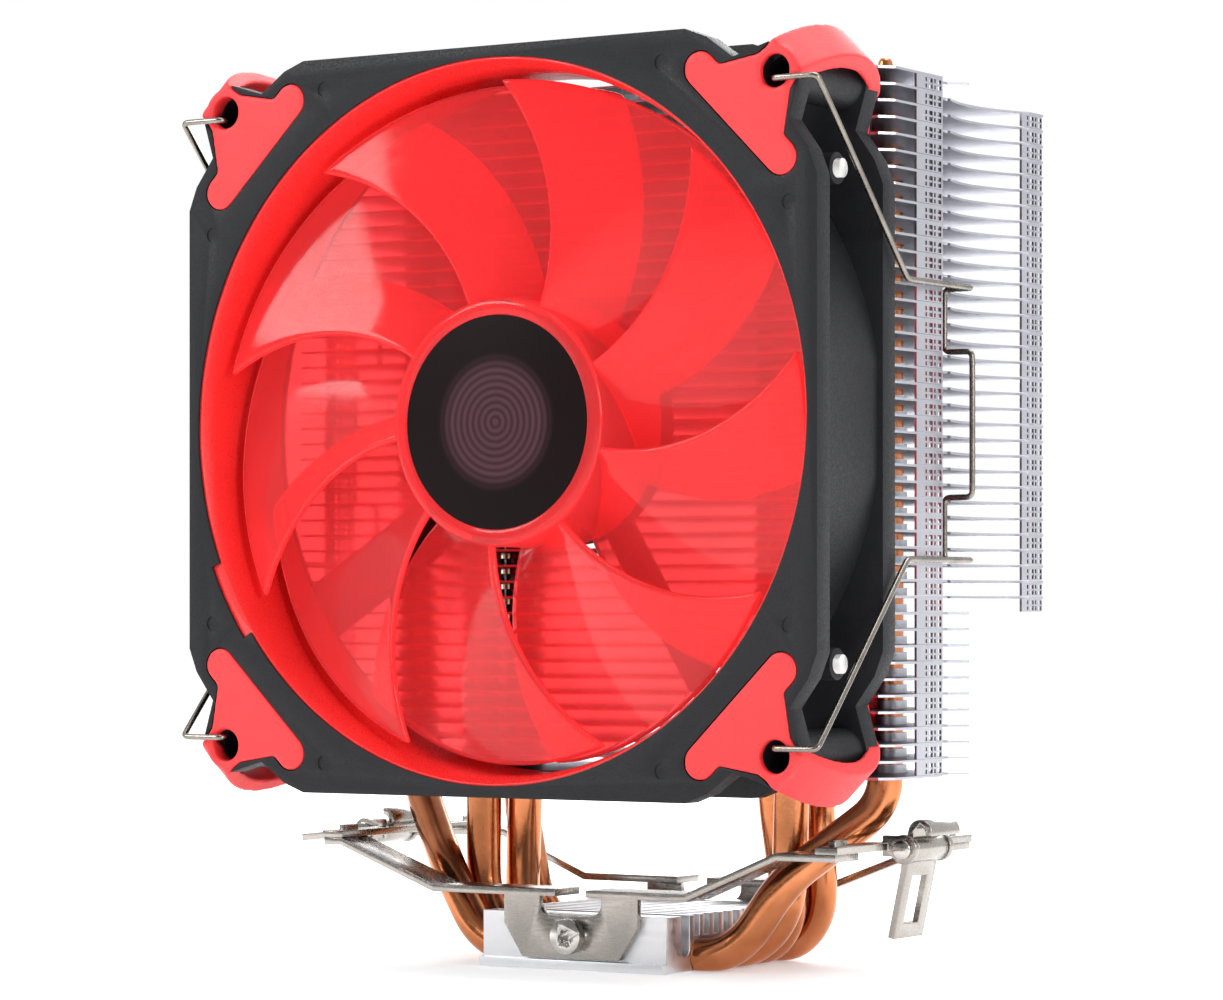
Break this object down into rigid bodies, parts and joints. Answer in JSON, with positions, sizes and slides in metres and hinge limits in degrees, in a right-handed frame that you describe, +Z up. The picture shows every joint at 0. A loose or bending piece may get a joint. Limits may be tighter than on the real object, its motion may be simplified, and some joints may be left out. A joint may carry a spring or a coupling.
{
  "type": "tower cooler",
  "caption": "Processor tower cooler: copper U pipes in a ribbed block, a stack of fins, wire-clipped fan with red impeller and soft corner pads.",
  "frame": {"origin": "centre of the base block's contact face, which rests on the processor", "axes": "+X along the heat pipes in the block, +Y with the air from the fan into the fins, +Z up from the contact face"},
  "size_m": [0.1294, 0.0848, 0.15],
  "materials": {
    "block_aluminium": "extruded, satin",
    "fin_aluminium": "rolled sheet",
    "copper": "drawn copper, lightly oxidised",
    "frame_plastic": "fine matte grain",
    "ring_plastic": "translucent red, polished",
    "impeller_plastic": "translucent red, polished",
    "pad_rubber": "soft coral red silicone",
    "lamp_plastic": "clear, domed",
    "disc_foil": "black foil with fine turned rings",
    "rotor_steel": "deep drawn",
    "magnet_rubber": "bonded ferrite",
    "shaft_steel": "ground",
    "clip_steel": "spring steel",
    "bearing_bronze": "sintered bronze",
    "tube_brass": "turned",
    "core_steel": "stacked sheets, varnished",
    "winding_copper": "enamelled wire",
    "board": "solder mask",
    "wire_steel": "drawn spring wire",
    "bracket_steel": "nickel plated, satin",
    "screw_steel": "nickel plated, polished"
  },
  "bodies": {
    "cooler": {"base_block": "block_aluminium", "heat_pipe_1": "copper", "heat_pipe_2": "copper", "heat_pipe_3": "copper", "heat_pipe_4": "copper", "low_fin_stack": "fin_aluminium", "long_fin_stack": "fin_aluminium", "top_fin": "fin_aluminium", "fan_frame": "frame_plastic", "duct_ring": "ring_plastic", "corner_pad_1": "pad_rubber", "corner_pad_2": "pad_rubber", "corner_pad_3": "pad_rubber", "corner_pad_4": "pad_rubber", "leds": "lamp_plastic", "bearing": "bearing_bronze", "bearing_tube": "tube_brass", "stator_core": "core_steel", "stator_coils": "winding_copper", "circuit_board": "board", "front_bracket": "bracket_steel", "rear_bracket": "bracket_steel", "bracket_screws": "screw_steel", "end_plate_left": "bracket_steel", "end_plate_right": "bracket_steel", "hook_pins": "screw_steel"},
    "impeller": {"impeller": "impeller_plastic", "hub_disc": "disc_foil", "rotor_cup": "rotor_steel", "magnet_ring": "magnet_rubber", "shaft": "shaft_steel", "shaft_clip": "clip_steel"},
    "clip_left": {"wire_clip_left": "wire_steel"},
    "clip_right": {"wire_clip_right": "wire_steel"},
    "hook_left": {"hook_left": "bracket_steel"},
    "hook_right": {"hook_right": "bracket_steel"}
  },
  "joints": [
    {"name": "impeller_spin", "type": "hinge", "parent": "cooler", "child": "impeller", "pos_m": [0, -0.0348, 0.08922], "axis": [0, 1, 0], "continuous": true},
    {"name": "clip_left_swing", "type": "hinge", "parent": "cooler", "child": "clip_left", "pos_m": [-0.0527, -0.0483, 0.08922], "axis": [0, 0, 1], "range_deg": [0, 25]},
    {"name": "clip_right_swing", "type": "hinge", "parent": "cooler", "child": "clip_right", "pos_m": [0.0527, -0.0483, 0.08922], "axis": [0, 0, -1], "range_deg": [0, 25]},
    {"name": "hook_left_swing", "type": "hinge", "parent": "cooler", "child": "hook_left", "pos_m": [-0.053, 0, 0.0206], "axis": [0, 1, 0], "range_deg": [-99, 6]},
    {"name": "hook_right_swing", "type": "hinge", "parent": "cooler", "child": "hook_right", "pos_m": [0.053, 0, 0.0206], "axis": [0, -1, 0], "range_deg": [-3, 102]}
  ]
}
